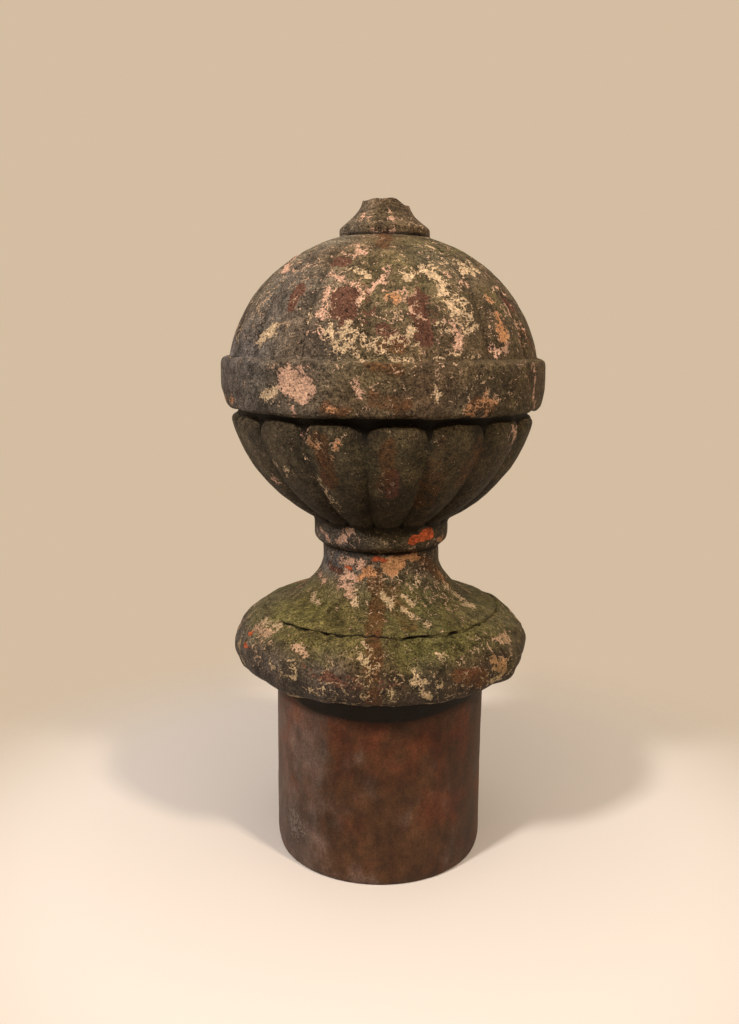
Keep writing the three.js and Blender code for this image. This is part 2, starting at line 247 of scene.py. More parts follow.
# Paint marks read off the finial, by layer. Each is its half width in millimetres, its strength,
# and the line that it follows: azimuths in degrees from the front and heights in millimetres,
# by turns.
MARKS = {
    "cream": [
        (2.2, 1.0, -11, 353, -13, 350), (2.0, 1.0, -20, 350, -17, 345, -12, 347, -9, 350),
        (2.4, 1.0, -17, 383, -12, 381, -7, 379), (1.8, 1.0, 8, 377, 12, 380, 17, 382, 20, 380),
        (4.2, 1.0, 21, 381, 23, 376, 24, 370), (2.6, 1.0, 25, 367, 27, 361, 26, 355),
        (8.0, 0.6, 29, 364, 30, 352), (2.0, 0.9, 17, 385, 22, 385, 27, 383, 33, 387),
        (2.0, 0.9, 33, 398, 37, 394), (1.6, 0.9, 38, 385, 43, 382, 47, 380, 52, 385, 58, 390),
        (6.0, 0.5, 38, 384, 52, 385), (5.0, 0.95, -50, 344, -45, 344, -43, 349),
        (1.4, 0.9, -52, 361, -48, 361), (0.8, 1.2, -28.6, 362, -28.2, 350),
        (6.0, 0.5, -15, 342, 6, 343), (1.6, 1.0, 9, 351, 10, 344, 10, 339),
        (2.4, 0.9, 20, 352, 23, 347), (3.6, 0.75, -41, 312, -36, 314), (2.2, 0.85, 16, 317, 16, 312),
        (1.2, 0.9, -49, 271, -47, 270), (1.4, 0.9, -42, 269, -40, 266),
        (0.7, 1.1, -29, 280, -27.5, 276), (1.5, 0.9, -60, 180, -50, 178, -44, 178),
        (3.2, 0.8, -22, 186, -17, 181), (3.6, 0.9, 2, 185, 6, 180),
        (2.2, 0.9, 13, 179, 19, 175, 26, 172), (3.0, 0.8, 18, 184, 23, 180),
        (1.0, 1.0, 30, 192, 33, 191), (1.0, 1.0, 17, 195, 18, 194), (1.0, 1.0, 25, 188, 27, 186),
        (2.0, 0.95, -7, 166, -5, 163, -7, 159, -3.5, 156, -5.5, 151),
        (2.0, 1.0, -38, 152, -34, 151, -31, 146, -32, 141, -36, 143), (1.6, 0.8, -45, 149, -43, 146),
        (2.0, 0.9, -25, 138, -20, 140, -16, 140),
        (2.3, 0.95, 10, 155, 13.5, 151, 11, 147, 15.5, 145, 14.5, 140, 19, 137),
        (2.4, 0.9, 22, 144, 24, 139), (2.6, 0.9, 3, 143, 5, 138), (2.6, 0.9, 22, 162, 25, 161),
        (2.0, 0.9, 40, 161, 44, 160), (3.0, 0.75, 44, 137, 56, 138), (2.0, 0.9, -56, 130, -50, 129),
        (2.0, 0.9, -37, 129, -30, 129), (2.0, 0.9, 4, 128.5, 8, 128.5), (2.4, 0.9, 18, 129, 25, 128.5),
        (4.0, 0.5, -26, 262, -24, 240), (5.0, 0.7, 66, 188, 70, 180, 66, 174),
        (6.0, 0.65, -64, 164, -52, 166), (5.0, 0.6, -72, 150, -66, 142), (1.2, 1.0, -8, 334, 10, 333.5),
        (1.0, 1.1, 16, 333.5, 36, 333),
    ],
    "pink": [
        (1.9, 1.0, -27, 379, -21, 378, -15, 376, -10, 371, -9.5, 365, -11, 359),
        (2.4, 1.0, -23, 368, -22, 362, -23, 356), (1.9, 1.0, -26, 394, -21, 392, -17, 391),
        (1.8, 1.0, -20, 398, -15, 396, -11, 393), (1.6, 1.0, -1.5, 385, 0, 381),
        (2.4, 1.0, -6, 372, -3, 374, 0, 375), (2.4, 1.0, 0, 379, 0.5, 372, 2, 368),
        (1.7, 1.0, 2, 368, 6, 365, 10, 360, 15, 355), (2.2, 1.0, 6, 371, 10, 371),
        (1.8, 0.9, 29, 381, 34, 377, 38, 373), (4.0, 1.0, 24.5, 350, 25.5, 343, 25, 338),
        (3.2, 0.9, 40, 337, 47, 338), (1.4, 1.0, -28, 346.5, -23, 346.5),
        (3.6, 1.0, -82, 395, -70, 390, -58, 384), (2.6, 0.9, 57, 361, 62, 355, 66, 352),
        (3.4, 1.0, 61, 345, 60, 338), (1.6, 0.9, 62, 375, 69, 366), (9.5, 1.0, -30, 320, -26, 316),
        (3.0, 0.9, -33, 327, -22, 327), (2.6, 1.0, -29, 304, -28, 296), (2.4, 1.0, -8, 318, -8, 312),
        (2.6, 0.9, 58, 327, 60, 319), (2.2, 1.0, 61, 314, 60, 308, 62, 303),
        (5.4, 1.0, 54, 291, 57, 288), (2.0, 0.9, 56, 282, 59, 277), (2.0, 0.9, -60, 257, -55, 258),
        (4.4, 1.0, -34, 218, -29, 224), (1.6, 1.0, -26, 219, -20, 218),
        (2.1, 1.0, -62, 222, -54, 219, -48, 217), (3.0, 1.0, -38, 201, -30, 203, -20, 203),
        (2.4, 1.0, -80, 191, -66, 190, -57, 188), (3.8, 1.0, -41, 193, -33, 195, -25, 193),
        (3.2, 1.0, -33, 188, -27, 187, -23, 184), (5.0, 0.85, -66, 161, -54, 161),
        (3.0, 0.9, -35, 161, -31, 160), (4.6, 0.8, 54, 161, 62, 158),
        (1.4, 1.1, 6, 419, 10, 417, 14, 414), (2.2, 1.0, -42, 419, -32, 416, -24, 417),
        (1.0, 1.2, -10, 407.2, 14, 407),
    ],
    "peach": [
        (2.2, 1.0, 3, 366, 5, 363), (5.4, 1.05, 47, 356, 47, 346), (2.4, 1.0, 46, 367, 48, 366),
        (2.2, 0.9, -18, 305, -13, 305), (2.0, 1.0, 26, 306, 30, 309, 34, 310, 38, 309),
        (1.8, 1.0, 33, 317, 33, 310), (2.2, 0.9, 26, 304, 34, 303),
        (2.6, 1.0, -76, 304, -68, 306, -62, 308), (1.9, 0.95, -26, 289, -23, 285, -24, 281),
        (1.6, 0.85, -17, 288, -15, 284, -18, 277), (2.6, 1.0, 58, 217, 68, 217),
        (4.0, 1.0, -18, 194, -12, 198, -6, 197), (7.0, 1.15, 10, 202.5, 18, 204.5),
        (4.5, 1.1, 16, 206, 34, 207), (2.6, 1.0, 5, 200, 10, 198), (2.6, 0.8, 66, 192, 72, 188),
        (5.4, 0.85, 48, 151, 52, 144),
    ],
    "red_lead": [
        (5.0, 1.15, 28, 220, 36, 221, 42, 222), (3.0, 0.85, -5, 207, 3, 207),
        (2.4, 0.95, -66, 157, -63, 157), (2.7, 0.95, -61, 152, -58, 151),
        (2.4, 0.8, -38, 196, -30, 199),
    ],
    "primer": [
        (8.5, 1.0, -15, 367, -15, 357), (7.0, 1.0, 12, 367, 13, 352, 14, 344),
        (5.0, 0.9, -36, 371, -36, 361), (6.0, 0.5, -9, 372, -5, 354), (6.0, 0.45, 18, 366, 19, 354),
        (6.0, 0.8, -26, 388, -21, 387), (5.5, 0.8, 3, 268, 4, 256), (4.0, 0.7, -23, 275, -23, 262),
        (6.0, 0.7, 0, 349, 6, 343), (3.5, 0.8, -60, 198, -42, 196),
        (1.9, 0.8, -1.5, 192, -1.5, 165, -1, 138), (5.0, 0.6, -18, 148, -8, 146),
        (3.5, 0.65, -2, 147, 8, 146), (5.0, 0.6, 30, 151, 38, 148), (4.0, 0.6, -30, 154, -22, 146),
        (4.0, 0.8, 58, 368, 66, 362),
    ],
    "rust": [
        (6.0, 1.1, -4, 196, -3, 176, -3, 160, -2, 136), (8.0, 0.5, 10, 187, 15, 172),
        (9.0, 0.45, 22, 286, 20, 250), (7.0, 0.45, 37, 286, 34, 262), (7.0, 0.75, -2, 312, 5, 309),
        (5.0, 0.75, -4, 328, 5, 329), (7.0, 0.8, -22, 288, -21, 262), (5.0, 0.8, 0, 342, 7, 341),
        (5.0, 0.7, 0, 405, 0, 397), (6.0, 0.8, 30, 308, 36, 307), (5.0, 0.7, -17, 305, -12, 304),
        (6.0, 0.7, 44, 204, 60, 196, 70, 186), (7.0, 0.7, 30, 148, 40, 143),
        (6.0, 0.6, 66, 350, 70, 340), (6.0, 0.6, 0, 262, 2, 285),
    ],
    "lichen": [
        (6.0, 0.4, 5, 392, 9, 386), (8.0, 0.7, 48, 372, 52, 360), (7.0, 0.9, 46, 176, 58, 175, 68, 172),
        (6.0, 0.9, 6, 163, 9, 155), (5.0, 0.8, 22, 188, 30, 184), (4.0, 0.8, -24, 158, -18, 154),
        (6.0, 0.7, 48, 142, 62, 146), (4.0, 0.8, -20, 300, -10, 301),
        (3.2, 0.8, -9, 192, -8, 166, -6, 138), (3.2, 0.8, 4, 188, 4, 166, 4, 138),
    ],
}

# Random marks for the back, by layer: the seed, how many, the widest half width, and the lowest
# and the highest place, in millimetres.
FAR_MARKS = {
    "cream": [(61, 60, 4.5, 335, 400), (62, 34, 4, 130, 215), (63, 14, 3.5, 303, 332)],
    "pink": [(64, 34, 4, 335, 400), (65, 26, 4, 130, 222), (66, 12, 6, 303, 332)],
    "peach": [(67, 10, 5, 335, 395), (68, 16, 4, 150, 222)],
    "red_lead": [],
    "primer": [(69, 16, 8, 340, 395), (70, 8, 6, 140, 200)],
    "rust": [(71, 12, 7, 130, 400)],
    "lichen": [(72, 14, 8, 150, 395)],
}

# Where most of a noise node's values lie.
NOISE_LOW = 0.32
NOISE_HIGH = 0.68

# The azimuths of the back in degrees, and how far a random mark's steps go in degrees and in
# millimetres of height.
BACK = (85, 275)
FAR_TURN = 5
FAR_CLIMB = 6

# A mark's cover on its edge, the most that it rises inside, how fast it changes with distance,
# the share of its half width where its edge lies, and what a weak mark loses.
MARK_EDGE = 0.46
MARK_RISE = 0.58
MARK_FADE = 2.3 * MM
MARK_REACH = 0.85
MARK_LOSS = 0.2

# Numbers by height in millimetres: the top coat's tones, then how far flakes are stained and
# how thickly small ones are scattered.
GREENNESS = [
    (127, 0.1), (140, 0.1), (150, 0.3), (162, 0.9), (185, 0.95), (196, 0.35), (215, 0.1), (240, 0.3),
    (290, 0.45), (303, 0.15), (320, 0.2), (335, 0.02), (380, 0.02), (402, 0.45), (408, 0.2), (430, 0.1),
]
BROWNNESS = [
    (127, 0.8), (140, 0.9), (152, 0.6), (163, 0.1), (185, 0.15), (205, 0.6), (225, 0.3), (245, 0.4),
    (290, 0.25), (305, 0.6), (330, 0.5), (345, 0.6), (380, 0.5), (400, 0.25), (408, 0.8), (430, 0.9),
]
# How much slate the left side takes by height: partly the coat's own grey, partly painted cool light.
GREYNESS = [
    (127, 0.5), (150, 0.6), (163, 0.1), (190, 0.25), (202, 1.1), (232, 1.7), (245, 0.5), (285, 0.5),
    (303, 0.9), (335, 0.7), (400, 0.4), (430, 0.2),
]
BRIGHTNESS = [
    (127, 0.35), (140, 0.5), (152, 0.76), (163, 1.2), (185, 1.22), (205, 1.06), (226, 0.96), (235, 0.75),
    (265, 1.05), (296, 1.1), (304, 0.95), (330, 1.05), (345, 1.05), (400, 1.2), (430, 1.15),
]
SHELTER = [(200, 0.0), (226, 0.8), (240, 1.0), (285, 0.85), (297, 1.0), (301, 0.0)]
STAINED = [(127, 0.9), (150, 0.85), (165, 0.65), (190, 0.4), (205, 0.1), (300, 0.1), (430, 0.15)]
SCATTER = [
    (126, -0.2), (134, -0.28), (150, -0.28), (163, -0.3), (172, -0.36), (182, -0.15), (215, -0.15),
    (232, -0.6), (296, -0.6), (304, -0.42), (330, -0.36), (340, -0.17), (395, -0.17), (408, -0.3),
    (430, -0.2),
]


def straight_points(points, pitch):
    """Points along straight runs: each run has as many even steps as keep them within pitch.

    The first point is left out, so that runs join."""
    runs = []
    for start, end in zip(points[:-1], points[1:]):
        count = max(1, math.ceil(math.dist(start, end) / pitch))
        along = np.arange(1, count + 1)[:, None] / count
        runs.append(np.array(start) + (np.array(end) - np.array(start)) * along)
    return np.concatenate(runs)


def quarter_turn(start, end, upright_first, count, fullness=2):
    """A quarter turn from start to end, without start: the sine and cosine of an even turn, each
    to the power of 2 over fullness, are the shares of the way up and across."""
    turn = np.linspace(0, math.pi / 2, count + 1)[1:]
    sine = np.sin(turn) ** (2 / fullness)
    cosine = np.maximum(np.cos(turn), 0) ** (2 / fullness)
    across, up = (1 - cosine, sine) if upright_first else (sine, 1 - cosine)
    radius = start[0] + (end[0] - start[0]) * across
    height = start[1] + (end[1] - start[1]) * up
    return np.column_stack([radius, height])


def ellipse_points(centre_height, semi_width, semi_height, first, last, count):
    """Points of an ellipse about the axis at even turns between two angles from the level: the
    cosine of the turn gives the radius and its sine the height."""
    turn = np.linspace(first, last, count)
    return np.column_stack([semi_width * np.cos(turn), centre_height + semi_height * np.sin(turn)])


def rows_of(points, part, lobe=0.0, sharpness=1.0, drop=0.0, rise=0.0, inset=0.0):
    """Outline points as rows: each number is the same for all, or one for each point."""
    points = np.atleast_2d(points)
    rows = np.zeros((len(points), PART + 1))
    rows[:, RADIUS:LOBE] = points
    for column, value in enumerate((lobe, sharpness, drop, rise, inset), LOBE):
        rows[:, column] = value
    rows[:, PART] = part
    return rows


def heights(s):
    """The heights and radii that the sizes s add up to, from the foot upwards."""
    h = SimpleNamespace()
    h.spigot = s.spigot_diameter / 2
    h.belly = (h.spigot + s.belly_projection, s.spigot_length + s.belly_rise)
    h.groove = (h.belly[0] - s.groove_setback, h.belly[1] + s.belly_fall)
    h.shoulder = (h.groove[0] - s.groove_depth, h.groove[1] + s.shoulder_rise)
    h.flare = (h.shoulder[0] - s.shoulder_width, h.shoulder[1] + s.shoulder_fall)
    h.neck = (s.neck_diameter / 2, h.flare[1] + s.flare_rise)
    h.collar = h.neck[0] + s.collar_projection
    h.neck_top = (h.neck[0], h.neck[1] + s.neck_length)
    h.collar_foot = h.neck_top[1] + s.collar_chamfer
    h.collar_top = h.collar_foot + s.collar_height
    h.ball = s.ball_diameter / 2
    h.centre = h.collar_top + s.bowl_depth * math.sqrt(1 - (h.collar / h.ball) ** 2)
    h.dome = h.ball - s.dome_setback
    h.band = h.ball + s.band_projection
    h.band_foot = h.centre - s.band_drop - s.band_height / 2
    h.band_top = h.band_foot + s.band_height
    h.dome_foot = h.dome * math.cos(math.asin((h.band_top - h.centre) / s.dome_height))
    h.ring = s.ring_diameter / 2
    h.ring_foot = h.centre + s.dome_height * math.sqrt(1 - (h.ring / h.dome) ** 2)
    h.ring_top = h.ring_foot + s.ring_height
    return h


def core_rows(s, h):
    """The hollow inside, from the chamber's top down to the bore's mouth: an ellipse, a quarter
    turn from the throat and a straight bore, all a wall inside the outline."""
    inset = s.wall + s.bowl_lobe_depth
    chamber = h.ball - inset
    bore = h.spigot - s.wall
    throat = h.neck[0] - s.wall
    lowest = -math.acos(throat / chamber)
    upper = ellipse_points(h.centre, chamber, s.dome_height - inset, math.pi / 2, 0.2, 5)
    lower = ellipse_points(h.centre, chamber, s.bowl_depth - inset, -0.1, lowest, 5)
    bore_top = (bore, h.shoulder[1] - s.wall)
    turn = quarter_turn(bore_top, (throat, h.neck[1]), False, 4)[::-1]
    straight = straight_points([bore_top, (bore, s.spigot_chamfer)], 45 * MM)
    return rows_of(np.concatenate([upper, lower, turn, [bore_top], straight]), CORE)


def foot_rows(s, h):
    """The ring that the finial stands on, and the spigot."""
    inner, outer, bevel = h.spigot - s.wall, h.spigot, s.spigot_chamfer
    ring = [(inner, bevel), (inner + bevel, 0), (outer - bevel, 0)]
    side = [(outer - bevel, 0), (outer, bevel), (outer, s.spigot_length)]
    return np.concatenate(
        [
            rows_of(straight_points(ring, 0.9 * MM), FOOT),
            rows_of(straight_points(side, 3.6 * MM), SPIGOT),
        ]
    )


def belly_rows(s, h):
    """The ledge, the belly in two quarter turns and the groove over it."""
    ledge = (h.spigot + s.belly_underside, s.spigot_length)
    under = straight_points([(h.spigot, s.spigot_length), ledge], 1.4 * MM)
    rise = quarter_turn(ledge, h.belly, False, 15, s.belly_rise_fullness)
    fall = quarter_turn(h.belly, h.groove, True, 14, s.belly_fall_fullness)
    return rows_of(np.concatenate([under, rise, fall]), BELLY)


def shoulder_rows(s, h):
    """The shoulder's edge and slope, then the sweep up to the neck and the neck itself."""
    radius, height = h.shoulder
    rim = (radius - s.shoulder_round, height)
    edge = straight_points(
        [h.groove, (radius, h.groove[1]), (radius, height - s.shoulder_round), rim], 0.55 * MM
    )
    slope = straight_points([rim, h.flare], 1.9 * MM)
    sweep = quarter_turn(h.flare, h.neck, False, 19, s.flare_fullness)
    neck = straight_points([h.neck, h.neck_top], 2 * MM)
    return rows_of(np.concatenate([edge, slope, sweep, neck]), FLARE)


def collar_rows(s, h):
    """The collar: a slope and an upright face."""
    face = [h.neck_top, (h.collar, h.collar_foot), (h.collar, h.collar_top)]
    return rows_of(straight_points(face, 1.8 * MM), COLLAR)


def bowl_rows(s, h):
    """The lobed bowl: an ellipse up to the lobes' round tops, whose sides drop by the fourth
    power of the way up, then the recess under the band."""
    top = h.band_foot - s.lobe_top_gap
    start = -math.asin((h.centre - h.collar_top) / s.bowl_depth)
    end = -math.asin((h.centre - top + s.lobe_top_round) / s.bowl_depth)
    face = ellipse_points(h.centre, h.ball, s.bowl_depth, start, end, BOWL_ROWS)[1:]
    up = np.arange(1, BOWL_ROWS) / (BOWL_ROWS - 1)
    recess = face[-1, 0] - s.lobe_top_recess
    brow = quarter_turn(tuple(face[-1]), (recess, top), True, 6)
    inner = s.bowl_lobe_depth * np.linspace(1, INNER_LOBE, 6)
    cheek = straight_points([(recess, top), (recess, h.band_foot)], 1.8 * MM)
    fade = np.linspace(1, 0, len(cheek) + 1)[1:]
    sharpness = s.bowl_lobe_sharpness
    return np.concatenate(
        [
            rows_of(face, BOWL, s.bowl_lobe_depth, sharpness, s.lobe_top_drop * up**4),
            rows_of(brow, BOWL, inner, sharpness, s.lobe_top_drop),
            rows_of(cheek, BOWL, INNER_LOBE * s.bowl_lobe_depth * fade, sharpness, s.lobe_top_drop * fade),
        ]
    )


def band_rows(s, h):
    """The plain band: its underside, its bevelled face and its top."""
    recess = h.ball * math.cos(math.asin((h.centre - h.band_foot) / s.bowl_depth)) - s.lobe_top_recess
    face, foot, top = h.band, h.band_foot, h.band_top
    ease, near = s.band_round, 0.3 * s.band_round
    inner = h.dome_foot + 0.5 * MM
    under = [(recess, foot), (face - ease, foot), (face - near, foot + near), (face, foot + ease)]
    over = [(face, top - ease), (face - near, top - near), (face - ease, top), (inner, top)]
    runs = ((under, 1.3 * MM), ([under[-1], over[0]], ROW_PITCH), (over, 1.3 * MM))
    return rows_of(np.concatenate([straight_points(run, pitch) for run, pitch in runs]), BAND)


def dome_rows(s, h):
    """The lobed dome: an ellipse whose grooves fade out under the ring by the third power of the
    way up."""
    start = math.asin((h.band_top - h.centre) / s.dome_height)
    end = math.acos(h.ring / h.dome)
    points = ellipse_points(h.centre, h.dome, s.dome_height, start, end, DOME_ROWS)
    lobe = s.dome_lobe_depth * (1 - np.linspace(0, 1, DOME_ROWS) ** 3)
    return rows_of(points, DOME, lobe=lobe, sharpness=s.dome_lobe_sharpness)


def stump_rows(s, h):
    """The ring, then rows that rise by shares of the way to the break, then rows across it."""
    edge, top = h.ring, h.ring_top
    ring = [(edge, h.ring_foot), (edge, top - s.ring_round), (edge - s.ring_round, top)]
    rises = np.linspace(0, 1, 15)[1:]
    return np.concatenate(
        [
            rows_of(straight_points(ring, 1.1 * MM), STUMP),
            rows_of(np.tile([0, top], (len(rises), 1)), STUMP, rise=rises),
            rows_of(np.tile([0, top], (len(BREAK_ROWS), 1)), STUMP, rise=1, inset=BREAK_ROWS),
        ]
    )


def lumps(points, scale, seed):
    """Smooth random lumps between -1 and 1, about scale apart: every corner of a lattice has a
    hashed value, and a point takes the smoothly weighted mean of the eight corners round it."""
    place = points / scale
    cell = np.floor(place).astype(np.int64)
    part = place - cell
    part = part * part * (3 - 2 * part)
    total = np.zeros(points.shape[:-1])
    for corner in np.ndindex(2, 2, 2):
        at = cell + np.array(corner)
        key = np.bitwise_xor.reduce(at * HASH_PLACE, axis=-1) ^ (seed * HASH_SEED)
        key = ((key & HASH_MASK) * HASH_FIRST) & HASH_MASK
        key = ((key ^ (key >> 15)) * HASH_LAST) & HASH_MASK
        value = ((key >> 8) & 0xFFFF) / 32767.5 - 1
        weight = np.prod(np.where(np.array(corner) == 1, part, 1 - part), axis=-1)
        total += value * weight
    return total


def smooth_step(value, low, high):
    """0 below low, 1 above high, and an S curve between them."""
    part = np.clip((value - low) / (high - low), 0, 1)
    return part * part * (3 - 2 * part)


def soften_rows(grid, part, passes):
    """Rounds the outline's corners: each row takes a quarter of the rows on its two sides, and
    less on the stump, the foot and the shoulder, which stay crisp."""
    crisp = [part == STUMP, part == FOOT, part == FLARE]
    amount = np.select(crisp, [0.12, 0.3, 0.2], 0.5)[1:-1, :, None]
    for _ in range(passes):
        grid[1:-1] += amount * (0.5 * (grid[:-2] + grid[2:]) - grid[1:-1])
    return grid


def break_height(azimuth, radius, s, h):
    """Height of the broken face: it slopes down to the right and two waves make it lumpy."""
    waves = np.sin(3 * azimuth + 0.8) + 0.7 * np.sin(5 * azimuth - 1.1)
    slope = s.break_slope * radius * np.sin(azimuth)
    uneven = s.break_roughness * waves * radius / (s.spike_diameter / 2)
    return h.ring_top + s.break_height - slope + uneven


def turned(radius, azimuth, height):
    """Points from radius, azimuth from the front and height."""
    return np.stack([radius * np.sin(azimuth), -radius * np.cos(azimuth), height + 0 * radius], axis=-1)


def carved_grid(rows, within, azimuth, s, h, relief):
    """Radius and height of every row at every column. Grooves take the radius in by their depth
    times how near the column is to the groove, to the power of the sharpness, and lobes' tops
    drop in the same way. The stump's radius falls from the ring to the spike by a power of the
    way up."""
    near = np.abs(1 - 2 * within)[None, :]
    radius = rows[:, RADIUS, None] - rows[:, LOBE, None] * near ** rows[:, SHARPNESS, None]
    height = rows[:, HEIGHT, None] - rows[:, DROP, None] * near**s.lobe_top_sharpness
    stump = rows[:, RISE] > 0
    rise, inset = rows[stump, RISE, None], rows[stump, INSET, None]
    spike = s.spike_diameter / 2
    rim = turned(spike, azimuth, 0 * azimuth)
    teeth = lumps(rim, 4.5 * MM, 31) + 0.6 * lumps(rim, 2.2 * MM, 32)
    wear = relief.corner_wear * np.clip(-np.sin(azimuth), 0, 1) ** 2
    edge = break_height(azimuth, spike, s, h) + relief.jags * teeth - wear
    level = h.ring_top + (edge - h.ring_top) * rise
    left = np.maximum(0, 1 - (level - h.ring_top) / s.spike_root_height)
    shank = spike + (h.ring - s.ring_round - spike) * left**s.spike_root_curve
    inner = shank * (1 - inset)
    face = break_height(azimuth, inner, s, h) - s.break_dish * np.sin(inset * math.pi) ** 2
    face = face + relief.jags * teeth * np.maximum(0, 1 - 4 * inset) - wear * (1 - inset)
    radius[stump] = inner
    height[stump] = np.where(inset > 0, face, level)
    return radius, height


def lobe_columns(s):
    """How far round its lobe each column stands, between 0 and 1, and its azimuth. A sine moves
    the columns towards the lobe's two ends, so that they crowd together at the grooves."""
    even = np.arange(s.lobe_count * COLUMNS_PER_LOBE) / COLUMNS_PER_LOBE
    within = even % 1
    within = within - 0.5 * np.sin(2 * math.pi * within) / (2 * math.pi)
    azimuth = s.groove_azimuth + 2 * math.pi * (np.floor(even) + within) / s.lobe_count
    return within, (azimuth + math.pi) % (2 * math.pi) - math.pi


def plain_form(rows, radius, height, azimuth):
    """The turned form without its grooves, and its outline up the outside: each row keeps its
    own radius and height, and the broken stump's rows take their means."""
    stump = rows[:, RISE] > 0
    plain_radius = np.where(stump, radius.mean(axis=1), rows[:, RADIUS])
    plain_height = np.where(stump, height.mean(axis=1), rows[:, HEIGHT])
    plain = turned(plain_radius[:, None] + 0 * azimuth, azimuth, plain_height[:, None])
    outside = (rows[:, PART] >= SPIGOT) & (rows[:, INSET] == 0)
    outline = np.column_stack([plain_radius, plain_height])[outside]
    outline[:, 1] = np.maximum.accumulate(outline[:, 1])
    return plain, outline


def grid_normals(points):
    """Outward normals of a grid that closes round its columns: the cross product of the steps to
    the next column and to the next row."""
    around = np.roll(points, -1, axis=1) - np.roll(points, 1, axis=1)
    along = np.gradient(points, axis=0)
    normal = np.cross(around, along)
    return normal / np.maximum(np.linalg.norm(normal, axis=-1, keepdims=True), 1e-12)


def hollowness(points, normals, reach):
    """How far a point lies under the mean of its neighbours reach rows and columns away, along
    its normal: positive in a hollow and negative on an edge."""
    padded = np.pad(points, ((reach, reach), (0, 0), (0, 0)), mode="edge")
    mean = padded[: -2 * reach] + padded[2 * reach :]
    mean = (mean + np.roll(points, reach, axis=1) + np.roll(points, -reach, axis=1)) / 4
    return np.sum((mean - points) * normals, axis=-1)


def mark_places(line, outline):
    """A mark's line as points in space, on the turned outline without its grooves."""
    azimuth = np.radians(line[0::2])
    height = np.array(line[1::2]) * MM
    radius = np.interp(height, outline[:, 1], outline[:, 0])
    return turned(radius, azimuth, height)


def bend(points):
    """Points moved sideways by lumps of two sizes, so that what follows them wriggles."""
    moved = points.copy()
    for axis in range(3):
        for reach, scale, seed in BENDS:
            moved[..., axis] += reach * lumps(points, scale, seed + axis)
    return moved


def mark_cover(points, marks, outline):
    """How strongly marks cover each point: the edge number on a mark's edge, more inside and less
    outside by the distance from it over the fade, times the mark's strength. The strongest
    mark counts."""
    cover = np.full(points.shape[:-1], -1.0)
    for half_width, strength, *line in marks:
        places = mark_places(line, outline)
        nearest = np.full(points.shape[:-1], np.inf)
        for start, end in zip(places[:-1], places[1:]):
            along = end - start
            part = np.clip(((points - start) @ along) / (along @ along), 0, 1)
            gap = np.linalg.norm(points - start - part[..., None] * along, axis=-1)
            nearest = np.minimum(nearest, gap)
        inside = np.minimum((MARK_REACH * half_width * MM - nearest) / MARK_FADE, MARK_RISE)
        cover = np.maximum(cover, strength * (MARK_EDGE + inside) - (1 - strength) * MARK_LOSS)
    return cover


def far_marks(seed, count, widest, low, high):
    """Marks for the back, in keeping with the front's: each starts at a random place there and
    takes two short random steps."""
    rng = np.random.default_rng(seed)
    marks = []
    for _ in range(count):
        azimuth = rng.uniform(*BACK)
        height = rng.uniform(low, high)
        line = [azimuth, height]
        for _ in range(2):
            azimuth += rng.uniform(-FAR_TURN, FAR_TURN)
            height = min(high, max(low, height + rng.uniform(-FAR_CLIMB, FAR_CLIMB)))
            line += [azimuth, height]
        marks.append((rng.uniform(1.4, widest), rng.uniform(0.8, 1), *line))
    return marks


def by_height(height, places):
    """A number for each height, read off a line through (height in millimetres, number) pairs."""
    at, value = zip(*places)
    return np.interp(height / MM, at, value)


def coat_colours(points, azimuth, height, grooved, paint):
    """The top coat's colour at each point: olive, greener, browner and darker by height, and all
    of it uneven by slow lumps. It is greyer to the left, partly in patches and partly as painted cool
    light, which also paints it a little lighter there, and painted shade makes it darker to the right and
    in the grooves."""
    green = np.clip(by_height(height, GREENNESS) + 0.35 * lumps(points, 34 * MM, 41), 0, 1)
    brown = np.clip(by_height(height, BROWNNESS) + 0.4 * lumps(points, 23 * MM, 42), 0, 1)
    left = smooth_step(-np.sin(azimuth), -0.1, 0.8)
    right = smooth_step(np.sin(azimuth), 0.2, 0.9)
    # Slate on the left side: partly the coat's own grey, partly painted cool light from the left.
    grey = np.clip(left * by_height(height, GREYNESS) + 0.3 * lumps(points, 28 * MM, 43), 0, 1)
    mixed = np.array(paint.olive)
    tones = (
        (paint.moss, green),
        (paint.umber, 0.8 * brown),
        (paint.slate_and_cool_light, 0.8 * grey),
        (paint.soot, 0.85 * by_height(height, SHELTER)),
    )
    for tone, amount in tones:
        mixed = mixed + (np.array(tone) - mixed) * amount[..., None]
    uneven = 1 + 0.16 * lumps(points, 14 * MM, 44) + 0.1 * lumps(points, 6 * MM, 45)
    bright = by_height(height, BRIGHTNESS) * uneven
    # Painted light and shade: a little lighter to the left, darker to the right and in the grooves.
    bright = bright * (1 - 0.22 * right) * (1 + 0.1 * left) * (1 - 0.5 * grooved)
    return mixed * bright[..., None]


